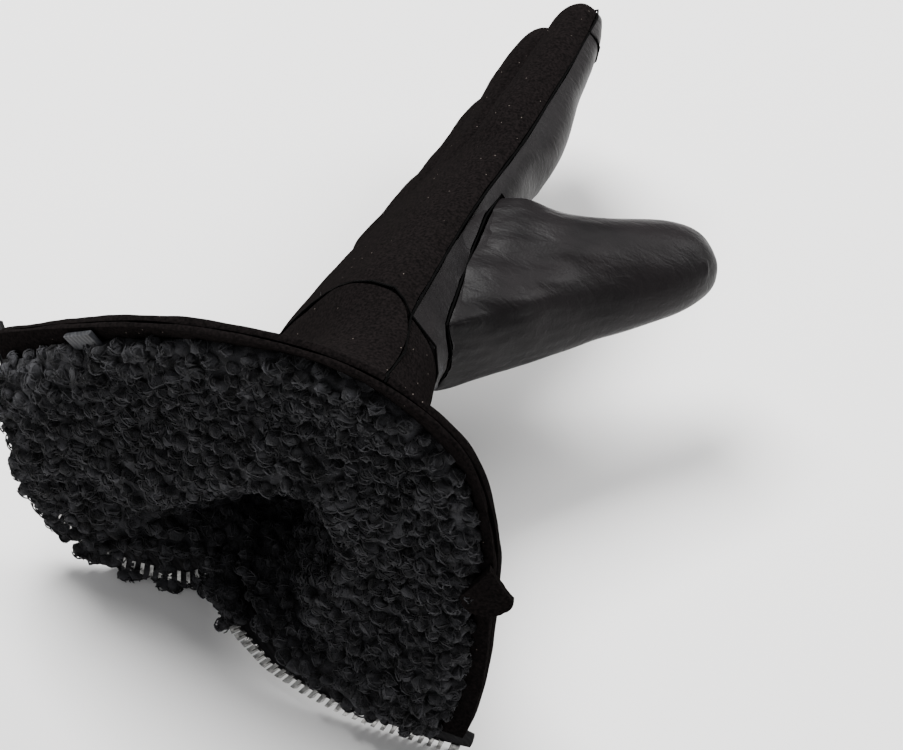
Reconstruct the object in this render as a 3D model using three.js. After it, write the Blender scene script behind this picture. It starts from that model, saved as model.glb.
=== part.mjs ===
// A left-hand winter glove with a leather palm, a cloth back and a cuff lined with curly pile.
// The cuff's zip is open on the little finger's side, so the cuff spreads like an open collar.
// Millimetres, +Z up. The glove lies on its little finger and on the two lower lobes of its cuff.
import * as THREE from "three";

// Driving dimensions: walls and gaps
const GAP = 0.3;
const SEAM_PULL = 0.5;
const TIGHT_PULL = 1.5;
const CLOTH = 2.0;
const LEATHER = 1.8;
const PILE = 8.5;
const FACING = 1.6;
const FACING_WIDTH_SHARE = 0.065;

// Driving dimensions: how the glove lies
const LEAN_DEG = 33;
const DROOP_DEG = 6.2;
const WRIST_HEIGHT = 57.7;

// Driving dimensions: the hand
const KNUCKLE_LINE = 92;
const YOKE_RISE = 19;
const PALM_EDGE_RISE = 1;
const SEAM_SHIFT = 2.6;
const SEAM_SHIFT_FROM = 45;
const SEAM_SHIFT_TO = 110;
const ULNAR_DROP = 10;
const SECTION_POWER = 2.4;
const SHOULDER = 0.95;
const CROTCH_DEPTH = 6;
const HAND_ROWS = 8;

// Across the hand: the ring runs from the little finger's side over the back to the thumb's side,
// and on over the palm. Each finger takes three columns of the back and three of the palm.
const RING = 32;
const SIDE = 4;
const ACROSS = 3;

// Each section of the hand, from wrist to knuckles: reach to each side of the seam line
const handSections = [
  { along: -12, ulnar: -46, radial: 50, back: -20, palm: 25 },
  { along: 15, ulnar: -46, radial: 49, back: -20, palm: 27 },
  { along: 42, ulnar: -48, radial: 47, back: -18, palm: 26 },
  { along: 68, ulnar: -49, radial: 48, back: -14.5, palm: 24 },
  { along: 95, ulnar: -50, radial: 50.4, back: -10.5, palm: 22 },
];

const fingers = [
  { name: "little", tip: 151, across: -37.2, halfWidth: 11.2, backTip: -5, palmTip: 12 },
  { name: "ring", tip: 175, across: -12.6, halfWidth: 12.0, backTip: -7, palmTip: 11 },
  { name: "middle", tip: 189, across: 12.6, halfWidth: 12.1, backTip: -10.5, palmTip: 9 },
  { name: "index", tip: 181, across: 37.6, halfWidth: 12.0, backTip: -9, palmTip: 9 },
];

// Finger rows: share of the length, and how wide and thick the finger is there
const fingerRows = [
  { share: 0.1, width: 1.0, thick: 1.0 },
  { share: 0.24, width: 1.02, thick: 1.0 },
  { share: 0.42, width: 1.02, thick: 0.98 },
  { share: 0.6, width: 1.0, thick: 0.98 },
  { share: 0.77, width: 0.98, thick: 0.98 },
  { share: 0.89, width: 0.9, thick: 0.92 },
  { share: 0.965, width: 0.68, thick: 0.7 },
];
const TOUCH_PATCH_FROM = 5;
const FINGER_ROUNDNESS = 0.85;

// The thumb grows from an opening in the palm leather
const THUMB_FIRST_COLUMN = 17;
const THUMB_COLUMNS = 4;
const THUMB_FIRST_ROW = 1;
const THUMB_ROWS = 5;
const THUMB_SEAM_DRIFT = 1.3;
const DRIFT_FROM = 17;
const DRIFT_TO = 62;
const THUMB_TIP = { radial: 67, palmar: 71, along: 89 };
const THUMB_HALF_WIDTH = 17;
const THUMB_HALF_THICKNESS = 13.5;
const THUMB_WIDE_WAY = { radial: 0.446, palmar: -0.635, along: 0.631 };
// Near its root the thumb keeps the opening's shape, up to this share of its length
const THUMB_JOINING_SHARE = 0.5;
const THUMB_JOINING_REACH = 60;
const thumbRows = [
  { share: 0.16, width: 1.2, thick: 1.08 },
  { share: 0.32, width: 1.17, thick: 1.05 },
  { share: 0.5, width: 1.07, thick: 1.0 },
  { share: 0.68, width: 0.94, thick: 0.96 },
  { share: 0.83, width: 0.84, thick: 0.88 },
  { share: 0.94, width: 0.62, thick: 0.7 },
];

// The cuff's hem, from the corner of its back lobe round the thumb's side to its palm lobe
const hemPoints = [
  { radial: -25, palmar: -90, along: -43 },
  { radial: 16, palmar: -78, along: -57 },
  { radial: 49, palmar: -64, along: -66 },
  { radial: 80, palmar: -39, along: -71 },
  { radial: 96, palmar: -15, along: -72 },
  { radial: 98, palmar: 9, along: -70 },
  { radial: 93, palmar: 26, along: -68 },
  { radial: 72, palmar: 50, along: -65 },
  { radial: 48, palmar: 66, along: -62 },
  { radial: 15, palmar: 87, along: -63 },
  { radial: -6, palmar: 96, along: -66 },
];
// The two zip edges, from the slit's end to the hem
const backEdgePoints = [
  { radial: -47, palmar: 13, along: -31 },
  { radial: -60, palmar: 7, along: -37 },
  { radial: -67, palmar: -4, along: -41 },
  { radial: -72, palmar: -20, along: -43 },
  { radial: -67, palmar: -40, along: -46 },
  { radial: -46, palmar: -66, along: -47 },
  { radial: -25, palmar: -90, along: -43 },
];
const palmEdgePoints = [
  { radial: -47, palmar: 13, along: -31 },
  { radial: -47.5, palmar: 21, along: -46 },
  { radial: -43, palmar: 35, along: -58 },
  { radial: -31, palmar: 56, along: -65 },
  { radial: -17.5, palmar: 77, along: -67 },
  { radial: -6, palmar: 96, along: -66 },
];
// Rows of the cuff: share of the way to the hem
const cuffRows = [0, 0.15, 0.27, 0.39, 0.51, 0.62, 0.72, 0.81, 1 - FACING_WIDTH_SHARE, 1];
const CLOSED_CUFF_ROWS = 1;
const FLARE_POWER = 1.5;
const EDGE_POWER = 2.6;

const LINING_DEPTH = 2.5;
const HAND_THIN = 0.8;
// The pile: how far it lines the hand, its lumps, and the roll that it makes over the wrist
const LINING_HAND_ROWS = 2;
const PILE_LUMP = 1.1;
const ROLL = 31;
const ROLL_FROM = 1;
const ROLL_TO = 24;
const ROLL_SHARE = 0.4;
const ROLL_SPREAD = 0.28;
const ROLL_WAY = { radial: -0.74, palmar: 0, along: -0.67 };
// Beside the slit the pile is pressed thin, and towards the hem it is trimmed
const SLIT_THIN = 0.45;
const SLIT_COLUMNS = [1, 7];
const SLIT_SHARES = [0.3, 0.8];
const HEM_TRIM = 0.6;

// The zip: tape, teeth and stops
const ZIP_START = 3;
const SLIDER_ROOM = 6;
const TAPE = 1;
const TAPE_DEPTH = 0.6;
const TAPE_WIDTH = 4.2;
const BEAD_WIDTH = 1.2;
const BEAD_PROUD = 0.3;
const TOOTH_PITCH = 2.9;
const TOOTH_THICKNESS = 1.5;
const TOOTH_STEP = 0.15;
const TOOTH_LENGTH = 4;
const TOOTH_PROUD = 0.9;
const STOP_LENGTH = 3.2;
const SLIDER_WIDTH = 7;
const SLIDER_LENGTH = 9;
const SLIDER_THICKNESS = 4;
const SLIDER_CLEARANCE = 2.4;
const PULLER_WIDTH = 4;
const PULLER_LENGTH = 9;

// The pull tab and the hanging loop, by their place on the hem
const TAB_COLUMN = 25;
const TAB_LENGTH = 22;
const TAB_WIDTH = 16;
const TAB_TILT_DEG = 32;
const TAB_NECK_SHARE = 0.1;
const TAB_INSET = 1;
const TAB_CLEARANCE = 1.5;
const LOOP_COLUMN = 5;
const LOOP_LENGTH = 14;
const LOOP_WIDTH = 5.5;
const LOOP_THICKNESS = 1.8;
const LOOP_INSET = 1.5;

// Colours, from the photograph's finishes
const leather = { color: "#2f2b2c", roughness: 0.5, metalness: 0 };
const cloth = { color: "#191616", roughness: 0.95, metalness: 0 };
const pile = { color: "#1b1c1e", roughness: 1, metalness: 0 };
const ribbon = { color: "#2b2c30", roughness: 0.8, metalness: 0 };
const nickel = { color: "#c9c9c6", roughness: 0.25, metalness: 1 };

// Turns a place on the glove into a place in the room
const lean = THREE.MathUtils.degToRad(LEAN_DEG);
const droop = THREE.MathUtils.degToRad(DROOP_DEG);
function place(radial, palmar, along) {
  const across = radial * Math.sin(lean) + palmar * Math.cos(lean);
  const rise = radial * Math.cos(lean) - palmar * Math.sin(lean);
  const forward = along * Math.cos(droop) + rise * Math.sin(droop);
  const height = rise * Math.cos(droop) - along * Math.sin(droop) + WRIST_HEIGHT;
  return new THREE.Vector3(across, forward, height);
}
const placePoint = (point) => place(point.radial, point.palmar, point.along);

// Cloth and leather flatten where they meet the floor
function settle(point) {
  point.z = Math.max(point.z, 0);
  return point;
}

// A surface of four-sided faces, each marked with the panel that it belongs to
const skin = { points: [], faces: [] };
function addPoint(point) {
  skin.points.push(point);
  return skin.points.length - 1;
}
function addFace(panel, a, b, c, d) {
  skin.faces.push({ panel, corners: [a, b, c, d] });
}

function sectionAt(along) {
  const last = handSections.length - 2;
  let i = 0;
  while (i < last && handSections[i + 1].along < along) i += 1;
  const low = handSections[i];
  const high = handSections[i + 1];
  const t = THREE.MathUtils.clamp((along - low.along) / (high.along - low.along), -0.3, 1);
  const mix = (key) => THREE.MathUtils.lerp(low[key], high[key], t);
  return { ulnar: mix("ulnar"), radial: mix("radial"), back: mix("back"), palm: mix("palm") };
}

// Where a column of the ring lies on the rounded section: x and y run from -1 to 1
const otherSide = (value) => (1 - Math.abs(value) ** SECTION_POWER) ** (1 / SECTION_POWER);
const shoulderHeight = otherSide(SHOULDER);
function columnPlace(column) {
  const half = SIDE / 2;
  const quarter = RING / 4;
  if (column < half || column > RING - half) {
    const steps = column < half ? -column : RING - column;
    const y = (shoulderHeight * steps) / half;
    return { x: -otherSide(y), y };
  }
  if (Math.abs(column - RING / 2) < half) {
    const y = (shoulderHeight * (column - RING / 2)) / half;
    return { x: otherSide(y), y };
  }
  if (column < RING / 2) {
    const x = (SHOULDER * (column - quarter)) / (quarter - half);
    return { x, y: -otherSide(x) };
  }
  const x = (SHOULDER * (3 * quarter - column)) / (quarter - half);
  return { x, y: otherSide(x) };
}

// The wrist line: an arched yoke seam on the back, and a shallower arch on the palm
function wristLine(column) {
  const half = RING / 2;
  const onBack = column <= half;
  const share = onBack ? column / half : (column - half) / half;
  const ulnarShare = onBack ? 1 - share : share;
  const rise = onBack ? YOKE_RISE : PALM_EDGE_RISE;
  return rise * Math.sin(Math.PI * share) - ULNAR_DROP * ulnarShare ** 2;
}

// Near the wrist the thumb's seam lies further round towards the palm
function drifted(column, along) {
  const first = RING / 2;
  const share = (column - first) / (RING / 4);
  if (share <= 0 || share >= 1) return column;
  const low = THREE.MathUtils.clamp((DRIFT_TO - along) / (DRIFT_TO - DRIFT_FROM), 0, 1);
  return column + THUMB_SEAM_DRIFT * low * Math.sin(Math.PI * Math.sqrt(share));
}

// From knuckles to fingertips the seam between back and palm lies a little towards the palm
const seamAt = (along) => SEAM_SHIFT * THREE.MathUtils.smoothstep(along, SEAM_SHIFT_FROM, SEAM_SHIFT_TO);

function handPoint(column, along) {
  const section = sectionAt(along);
  const { x, y } = columnPlace(drifted(column, along));
  const middle = (section.ulnar + section.radial) / 2;
  const reach = (section.radial - section.ulnar) / 2;
  const seam = seamAt(along);
  const palmar = seam + (y < 0 ? -y * (section.back - seam) : y * (section.palm - seam));
  return { radial: middle + x * reach, palmar, along };
}

// The hand from the wrist line to the knuckles
const handGrid = [];
for (let row = 0; row <= HAND_ROWS; row += 1) {
  const ring = [];
  for (let column = 0; column < RING; column += 1) {
    const along = THREE.MathUtils.lerp(wristLine(column), KNUCKLE_LINE, row / HAND_ROWS);
    ring.push(addPoint(placePoint(handPoint(column, along))));
  }
  handGrid.push(ring);
}
const isThumbOpening = (row, column) =>
  row >= THUMB_FIRST_ROW && row < THUMB_FIRST_ROW + THUMB_ROWS
  && column >= THUMB_FIRST_COLUMN && column < THUMB_FIRST_COLUMN + THUMB_COLUMNS;
for (let row = 0; row < HAND_ROWS; row += 1) {
  for (let column = 0; column < RING; column += 1) {
    if (isThumbOpening(row, column)) continue;
    const next = (column + 1) % RING;
    const panel = column < RING / 2 ? "back_of_hand" : "palm";
    const low = handGrid[row];
    const high = handGrid[row + 1];
    addFace(panel, low[column], low[next], high[next], high[column]);
  }
}

// Closes a ring of points with a domed grid, across faces wide, and gives its faces
function addCap(ring, across, down, lift, panelOf) {
  const grid = [];
  const count = ring.length;
  for (let i = 0; i <= down; i += 1) {
    const line = [];
    for (let j = 0; j <= across; j += 1) {
      const left = ring[(count - i) % count];
      const right = ring[across + i];
      if (i === 0) line.push(ring[j]);
      else if (i === down) line.push(ring[count - down - j]);
      else if (j === 0) line.push(left);
      else if (j === across) line.push(right);
      else {
        const flat = skin.points[left].clone().lerp(skin.points[right], j / across);
        const far = skin.points[ring[count - down - j]];
        const top = skin.points[ring[j]].clone().lerp(far, i / down);
        flat.lerp(top, 0.5).add(lift);
        line.push(addPoint(flat));
      }
    }
    grid.push(line);
  }
  for (let i = 0; i < down; i += 1) {
    for (let j = 0; j < across; j += 1) {
      addFace(panelOf(i), grid[i][j], grid[i][j + 1], grid[i + 1][j + 1], grid[i + 1][j]);
    }
  }
}

function addTube(rings, panelOf) {
  for (let row = 0; row + 1 < rings.length; row += 1) {
    const low = rings[row];
    const high = rings[row + 1];
    for (let k = 0; k < low.length; k += 1) {
      const next = (k + 1) % low.length;
      addFace(panelOf(row, k), low[k], low[next], high[next], high[k]);
    }
  }
}

// The webs between the fingers, each shared by its two neighbours
const knuckles = handGrid[HAND_ROWS];
const webs = [];
for (let finger = 1; finger < fingers.length; finger += 1) {
  const backColumn = SIDE / 2 + ACROSS * finger;
  const palmColumn = RING - backColumn;
  const from = handPoint(backColumn, KNUCKLE_LINE);
  const to = handPoint(palmColumn, KNUCKLE_LINE);
  const web = [];
  for (let k = 1; k < SIDE; k += 1) {
    const t = k / SIDE;
    const along = KNUCKLE_LINE + CROTCH_DEPTH * Math.sin(Math.PI * t);
    const palmar = THREE.MathUtils.lerp(from.palmar, to.palmar, t);
    web.push(addPoint(place(from.radial, palmar, along)));
  }
  webs.push(web);
}

function fingerBase(finger) {
  const first = SIDE / 2 + ACROSS * finger;
  const ring = [];
  for (let k = 0; k <= ACROSS; k += 1) ring.push(knuckles[first + k]);
  const isIndex = finger === fingers.length - 1;
  for (let k = 1; k < SIDE; k += 1) {
    ring.push(isIndex ? knuckles[RING / 2 - SIDE / 2 + k] : webs[finger][k - 1]);
  }
  for (let k = 0; k <= ACROSS; k += 1) ring.push(knuckles[RING - first - ACROSS + k]);
  for (let k = SIDE - 1; k > 0; k -= 1) {
    const column = (RING + SIDE / 2 - k) % RING;
    ring.push(finger === 0 ? knuckles[column] : webs[finger - 1][k - 1]);
  }
  return ring;
}

// A rounded ring of directions: three steps over the back, four down the side, and so on
const BACK_CORNER_DEG = 38;
const ringAngles = [];
const backTurn = 180 - 2 * BACK_CORNER_DEG;
for (let k = 0; k < ACROSS; k += 1) ringAngles.push(180 - BACK_CORNER_DEG - (k * backTurn) / ACROSS);
for (let k = 0; k < SIDE; k += 1) ringAngles.push(BACK_CORNER_DEG - (k * 2 * BACK_CORNER_DEG) / SIDE);
const halfRing = ringAngles.map((angle) => angle - 180);
const fingerAngles = ringAngles.concat(halfRing).map(THREE.MathUtils.degToRad);

fingers.forEach((finger, number) => {
  const rings = [fingerBase(number)];
  const base = sectionAt(KNUCKLE_LINE);
  for (const row of fingerRows) {
    const t = row.share;
    const along = THREE.MathUtils.lerp(KNUCKLE_LINE, finger.tip, t);
    const back = THREE.MathUtils.lerp(base.back, finger.backTip, t);
    const palm = THREE.MathUtils.lerp(base.palm, finger.palmTip, t);
    const middle = (back + palm) / 2;
    const seam = THREE.MathUtils.lerp(seamAt(along), middle, 1 - row.thick);
    const width = finger.halfWidth * row.width;
    rings.push(fingerAngles.map((angle) => {
      const x = Math.sign(Math.cos(angle)) * Math.abs(Math.cos(angle)) ** FINGER_ROUNDNESS;
      const y = -Math.sign(Math.sin(angle)) * Math.abs(Math.sin(angle)) ** FINGER_ROUNDNESS;
      const end = middle + ((y < 0 ? back : palm) - middle) * row.thick;
      return addPoint(place(finger.across + width * x, seam + Math.abs(y) * (end - seam), along));
    }));
  }
  const half = ACROSS + SIDE / 2;
  const isIndex = number === fingers.length - 1;
  const palmPanel = (row) => (isIndex && row >= TOUCH_PATCH_FROM ? "index_touch_patch" : "palm");
  const isBack = (k) => k < half || k >= half + ACROSS + SIDE;
  addTube(rings, (row, k) => (isBack(k) ? "back_of_hand" : palmPanel(row)));
  const endRow = rings.length - 1;
  const left = (finger.tip - KNUCKLE_LINE) * (1 - fingerRows.at(-1).share);
  const lift = place(0, 0, left).sub(place(0, 0, 0));
  addCap(rings[endRow], ACROSS, SIDE, lift, (i) => (i < SIDE / 2 ? "back_of_hand" : palmPanel(endRow)));
});

// The thumb: from the border of its opening to a blunt tip
const lastRow = THUMB_FIRST_ROW + THUMB_ROWS;
const lastColumn = THUMB_FIRST_COLUMN + THUMB_COLUMNS;
const border = [];
for (let k = 0; k < THUMB_COLUMNS; k += 1) border.push(handGrid[lastRow][THUMB_FIRST_COLUMN + k]);
for (let k = 0; k < THUMB_ROWS; k += 1) border.push(handGrid[lastRow - k][lastColumn]);
for (let k = 0; k < THUMB_COLUMNS; k += 1) border.push(handGrid[THUMB_FIRST_ROW][lastColumn - k]);
for (let k = 0; k < THUMB_ROWS; k += 1) border.push(handGrid[THUMB_FIRST_ROW + k][THUMB_FIRST_COLUMN]);
const thumbBase = border.reduce((sum, index) => sum.add(skin.points[index]), new THREE.Vector3());
thumbBase.divideScalar(border.length);
const thumbTip = placePoint(THUMB_TIP);
const thumbAxis = thumbTip.clone().sub(thumbBase).normalize();
const thumbWide = placePoint(THUMB_WIDE_WAY).sub(place(0, 0, 0));
thumbWide.addScaledVector(thumbAxis, -thumbWide.dot(thumbAxis)).normalize();
const thumbThick = thumbAxis.clone().cross(thumbWide);
const turnOf = (point) => {
  const arm = point.clone().sub(thumbBase);
  return Math.atan2(arm.dot(thumbThick), arm.dot(thumbWide));
};
const thumbTurns = border.map((index) => turnOf(skin.points[index]));
const direction = Math.sign(Math.sin(thumbTurns[1] - thumbTurns[0]));
const step = (direction * 2 * Math.PI) / border.length;
const spread = thumbTurns.reduce((sum, turn, k) => {
  const off = turn - step * k;
  return { x: sum.x + Math.cos(off), y: sum.y + Math.sin(off) };
}, { x: 0, y: 0 });
const firstTurn = Math.atan2(spread.y, spread.x);
const thumbRings = [border];
for (const row of thumbRows) {
  const centre = thumbBase.clone().lerp(thumbTip, row.share);
  const joining = Math.max(0, 1 - row.share / THUMB_JOINING_SHARE);
  thumbRings.push(border.map((index, k) => {
    const turn = firstTurn + step * k;
    const point = centre.clone();
    point.addScaledVector(thumbWide, Math.cos(turn) * THUMB_HALF_WIDTH * row.width);
    point.addScaledVector(thumbThick, Math.sin(turn) * THUMB_HALF_THICKNESS * row.thick);
    const fromBorder = skin.points[index].clone().addScaledVector(thumbAxis, row.share * THUMB_JOINING_REACH);
    return addPoint(point.lerp(fromBorder, joining));
  }));
}
addTube(thumbRings, () => "thumb");
const thumbLift = thumbTip.clone().sub(thumbBase).multiplyScalar(1 - thumbRows.at(-1).share);
addCap(thumbRings.at(-1), THUMB_COLUMNS, THUMB_ROWS, thumbLift, () => "thumb");

// The cuff: a patch between the wrist line, the hem and the two zip edges
const toCurve = (points) => new THREE.CatmullRomCurve3(points.map(placePoint), false, "centripetal");
const hem = toCurve(hemPoints);
const wristEnd = handPoint(0, wristLine(0));
const backEdge = toCurve(backEdgePoints);
const palmEdge = toCurve(palmEdgePoints);
const closedShare = cuffRows[CLOSED_CUFF_ROWS];
function edgeAt(edge, share) {
  if (share <= closedShare) {
    return placePoint(wristEnd).lerp(edge.getPointAt(0), share / closedShare);
  }
  return edge.getPointAt((share - closedShare) / (1 - closedShare));
}
function cuffPoint(column, share) {
  const u = column / RING;
  const flare = share ** FLARE_POWER;
  const wrist = (at) => placePoint(handPoint(at % RING, wristLine(at % RING)));
  const straight = (at, hemShare) => {
    const from = wrist(at);
    const to = hem.getPointAt(hemShare);
    const drop = place(0, 0, -1).sub(place(0, 0, 0));
    const reach = to.clone().sub(from);
    const down = reach.dot(drop);
    const out = reach.addScaledVector(drop, -down);
    return from.addScaledVector(drop, down * share).addScaledVector(out, flare);
  };
  const point = straight(column, u);
  const backPull = edgeAt(backEdge, share).sub(straight(0, 0));
  const palmPull = edgeAt(palmEdge, share).sub(straight(0, 1));
  point.addScaledVector(backPull, (1 - u) ** EDGE_POWER);
  point.addScaledVector(palmPull, u ** EDGE_POWER);
  return point;
}
const cuffGrid = [handGrid[0].concat(handGrid[0][0])];
for (let row = 1; row < cuffRows.length; row += 1) {
  const line = [];
  for (let column = 0; column <= RING; column += 1) {
    const shared = column === RING && row <= CLOSED_CUFF_ROWS;
    line.push(shared ? line[0] : addPoint(cuffPoint(column, cuffRows[row])));
  }
  cuffGrid.push(line);
}
for (let row = 0; row + 1 < cuffRows.length; row += 1) {
  for (let column = 0; column < RING; column += 1) {
    const near = cuffGrid[row];
    const far = cuffGrid[row + 1];
    const panel = column < RING / 2 ? "cuff_back" : "cuff_palm";
    addFace(panel, far[column], far[column + 1], near[column + 1], near[column]);
  }
}
skin.points.forEach(settle);

// Normals of the whole surface, pointing out
const normals = skin.points.map(() => new THREE.Vector3());
for (const face of skin.faces) {
  const [a, b, c, d] = face.corners.map((index) => skin.points[index]);
  const normal = c.clone().sub(a).cross(d.clone().sub(b));
  for (const index of face.corners) normals[index].add(normal);
}
normals.forEach((normal) => normal.normalize());

// The way in from a panel's border to its middle, so that panels keep a gap
function pulledBorder(faces) {
  const uses = new Map();
  const key = (a, b) => (a < b ? `${a} ${b}` : `${b} ${a}`);
  const edgesOf = (face) => face.corners.map((a, k) => [a, face.corners[(k + 1) % 4]]);
  for (const face of faces) {
    for (const [a, b] of edgesOf(face)) uses.set(key(a, b), (uses.get(key(a, b)) ?? 0) + 1);
  }
  const pulls = new Map();
  for (const face of faces) {
    for (const [a, b] of edgesOf(face)) {
      if (uses.get(key(a, b)) === 1) [a, b].forEach((index) => pulls.set(index, new THREE.Vector3()));
    }
  }
  for (const face of faces) {
    const middle = new THREE.Vector3();
    face.corners.forEach((index) => middle.addScaledVector(skin.points[index], 1 / 4));
    for (const index of face.corners) {
      if (pulls.has(index)) pulls.get(index).add(middle).sub(skin.points[index]);
    }
  }
  pulls.forEach((pull) => pull.normalize());
  return pulls;
}

// Where panels meet in a deep valley they keep further apart
const tightPoints = new Set(webs.flat().concat(border));

// A wall between two depths under the surface, over the faces given
function wall(faces, depthOut, depthIn, shiftIn = () => null) {
  const pulls = pulledBorder(faces);
  const order = new Map();
  const positions = [];
  for (const face of faces) {
    for (const index of face.corners) {
      if (order.has(index)) continue;
      order.set(index, order.size);
      const spot = skin.points[index].clone();
      const pull = pulls.get(index);
      if (pull) spot.addScaledVector(pull, tightPoints.has(index) ? TIGHT_PULL : SEAM_PULL);
      for (const depth of [depthOut, depthIn]) {
        const value = typeof depth === "function" ? depth(index) : depth;
        const point = spot.clone().addScaledVector(normals[index], -value);
        const shift = depth === depthIn ? shiftIn(index) : null;
        if (shift) point.add(shift);
        positions.push(point.x, point.y, point.z);
      }
    }
  }
  const triangles = [];
  const outer = (index) => 2 * order.get(index);
  const inner = (index) => 2 * order.get(index) + 1;
  const borders = new Map();
  for (const face of faces) {
    const [a, b, c, d] = face.corners;
    triangles.push(outer(a), outer(b), outer(c), outer(a), outer(c), outer(d));
    triangles.push(inner(a), inner(c), inner(b), inner(a), inner(d), inner(c));
    face.corners.forEach((from, k) => {
      const to = face.corners[(k + 1) % 4];
      if (borders.has(`${to} ${from}`)) borders.delete(`${to} ${from}`);
      else borders.set(`${from} ${to}`, [from, to]);
    });
  }
  for (const [from, to] of borders.values()) {
    triangles.push(outer(from), inner(from), inner(to), outer(from), inner(to), outer(to));
  }
  const geometry = new THREE.BufferGeometry();
  geometry.setAttribute("position", new THREE.Float32BufferAttribute(positions, 3));
  geometry.setIndex(triangles);
  return geometry;
}

// Joins sections, each a ring of as many points, into one closed body
function sweep(sections) {
  const size = sections[0].length;
  const positions = sections.flat().flatMap((point) => [point.x, point.y, point.z]);
  const triangles = [];
  const quad = (a, b, c, d) => triangles.push(a, b, c, a, c, d);
  for (let i = 0; i + 1 < sections.length; i += 1) {
    for (let k = 0; k < size; k += 1) {
      const next = (k + 1) % size;
      quad(i * size + k, i * size + next, (i + 1) * size + next, (i + 1) * size + k);
    }
  }
  const last = (sections.length - 1) * size;
  for (let k = 1; k + 1 < size; k += 1) {
    triangles.push(0, k + 1, k);
    triangles.push(last, last + k, last + k + 1);
  }
  const geometry = new THREE.BufferGeometry();
  geometry.setAttribute("position", new THREE.Float32BufferAttribute(positions, 3));
  geometry.setIndex(triangles);
  return geometry;
}

// A zip edge as a line of stations, each with its place, its outward face and the way to its teeth
function edgeStations(column) {
  const stations = [];
  for (let row = CLOSED_CUFF_ROWS; row < cuffGrid.length; row += 1) {
    const index = cuffGrid[row][column];
    const inner = cuffGrid[row][column === 0 ? 1 : RING - 1];
    const normal = normals[index].clone();
    const out = skin.points[index].clone().sub(skin.points[inner]);
    out.addScaledVector(normal, -out.dot(normal)).normalize();
    stations.push({ spot: skin.points[index].clone(), normal, out });
  }
  let travelled = 0;
  stations.forEach((station, i) => {
    if (i > 0) travelled += station.spot.distanceTo(stations[i - 1].spot);
    station.at = travelled;
  });
  return stations;
}
function stationAt(stations, at) {
  let i = 0;
  while (i < stations.length - 2 && stations[i + 1].at < at) i += 1;
  const [low, high] = [stations[i], stations[i + 1]];
  const t = (at - low.at) / (high.at - low.at);
  const mix = (key) => low[key].clone().lerp(high[key], t);
  return { spot: mix("spot"), normal: mix("normal").normalize(), out: mix("out").normalize() };
}
// The four corners of a bar's section at a station: from and to along the way out, and depths
function barSection(station, from, to, shallow, deep) {
  const corner = (out, depth) => station.spot.clone()
    .addScaledVector(station.out, out).addScaledVector(station.normal, -depth);
  return [corner(from, shallow), corner(to, shallow), corner(to, deep), corner(from, deep)];
}
const turnedOut = (sections, flip) => sections.map((section) => (flip ? section.reverse() : section));

const glove = new THREE.Group();
function addPiece(name, geometry, finish) {
  const piece = new THREE.Mesh(geometry, new THREE.MeshStandardMaterial(finish));
  piece.name = name;
  glove.add(piece);
  return piece;
}
const facesOf = (panel) => skin.faces.filter((face) => face.panel === panel);
addPiece("back_of_hand", wall(facesOf("back_of_hand"), 0, CLOTH), cloth);
addPiece("palm", wall(facesOf("palm"), 0, LEATHER), leather);
addPiece("index_touch_patch", wall(facesOf("index_touch_patch"), 0, LEATHER), leather);
addPiece("thumb", wall(facesOf("thumb"), 0, LEATHER), leather);
addPiece("cuff_back", wall(facesOf("cuff_back"), 0, CLOTH), cloth);
addPiece("cuff_palm", wall(facesOf("cuff_palm"), 0, CLOTH), cloth);

// The pile lining: the cuff and the start of the hand, thicker where it rolls over the wrist
const cuffFaces = skin.faces.filter((face) => face.panel.startsWith("cuff_"));
const hemRow = new Set(cuffGrid.at(-1));
const isFacing = (face) => face.corners.some((index) => hemRow.has(index));
const liningRows = new Set(handGrid.slice(0, LINING_HAND_ROWS + 1).flat());
const isLinedHand = (face) => !face.panel.startsWith("cuff_") && face.panel !== "thumb"
  && face.corners.every((index) => liningRows.has(index));
const lined = cuffFaces.filter((face) => !isFacing(face)).concat(skin.faces.filter(isLinedHand));
const rollWay = placePoint(ROLL_WAY).sub(place(0, 0, 0));
const cuffRowOf = new Map();
cuffGrid.forEach((line, row) => line.forEach((index, column) => cuffRowOf.set(index, { row, column })));
handGrid.slice(1, LINING_HAND_ROWS + 1).forEach((line) => {
  line.forEach((index, column) => cuffRowOf.set(index, { row: 0, column, inHand: true }));
});
function pileDepth(index) {
  const lump = PILE_LUMP * Math.sin(index * 2.4) * Math.cos(index * 1.7);
  const spot = cuffRowOf.get(index);
  const nearHem = spot.row === cuffGrid.length - 2 ? HEM_TRIM : 1;
  const fromSlit = THREE.MathUtils.smoothstep(Math.min(spot.column, RING - spot.column), ...SLIT_COLUMNS);
  const fromWrist = THREE.MathUtils.smoothstep(cuffRows[spot.row], ...SLIT_SHARES);
  const pressed = THREE.MathUtils.lerp(SLIT_THIN, 1, Math.max(fromSlit, fromWrist));
  const inHand = spot.inHand ? HAND_THIN : 1;
  return LINING_DEPTH + (PILE + lump) * nearHem * pressed * inHand;
}
function pileRoll(index) {
  const spot = cuffRowOf.get(index);
  if (spot.inHand) return null;
  const around = Math.max(0, Math.sin((Math.PI * (spot.column - ROLL_FROM)) / (ROLL_TO - ROLL_FROM)));
  const share = cuffRows[spot.row];
  const down = Math.exp(-(((share - ROLL_SHARE) / ROLL_SPREAD) ** 2));
  const inside = spot.column > ROLL_FROM && spot.column < ROLL_TO;
  return inside ? rollWay.clone().multiplyScalar(ROLL * around * down) : null;
}
addPiece("pile_lining", wall(lined, LINING_DEPTH, pileDepth, pileRoll), pile);
const facingIn = LINING_DEPTH + FACING;
addPiece("hem_facing", wall(cuffFaces.filter(isFacing), LINING_DEPTH, facingIn), cloth);

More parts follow.
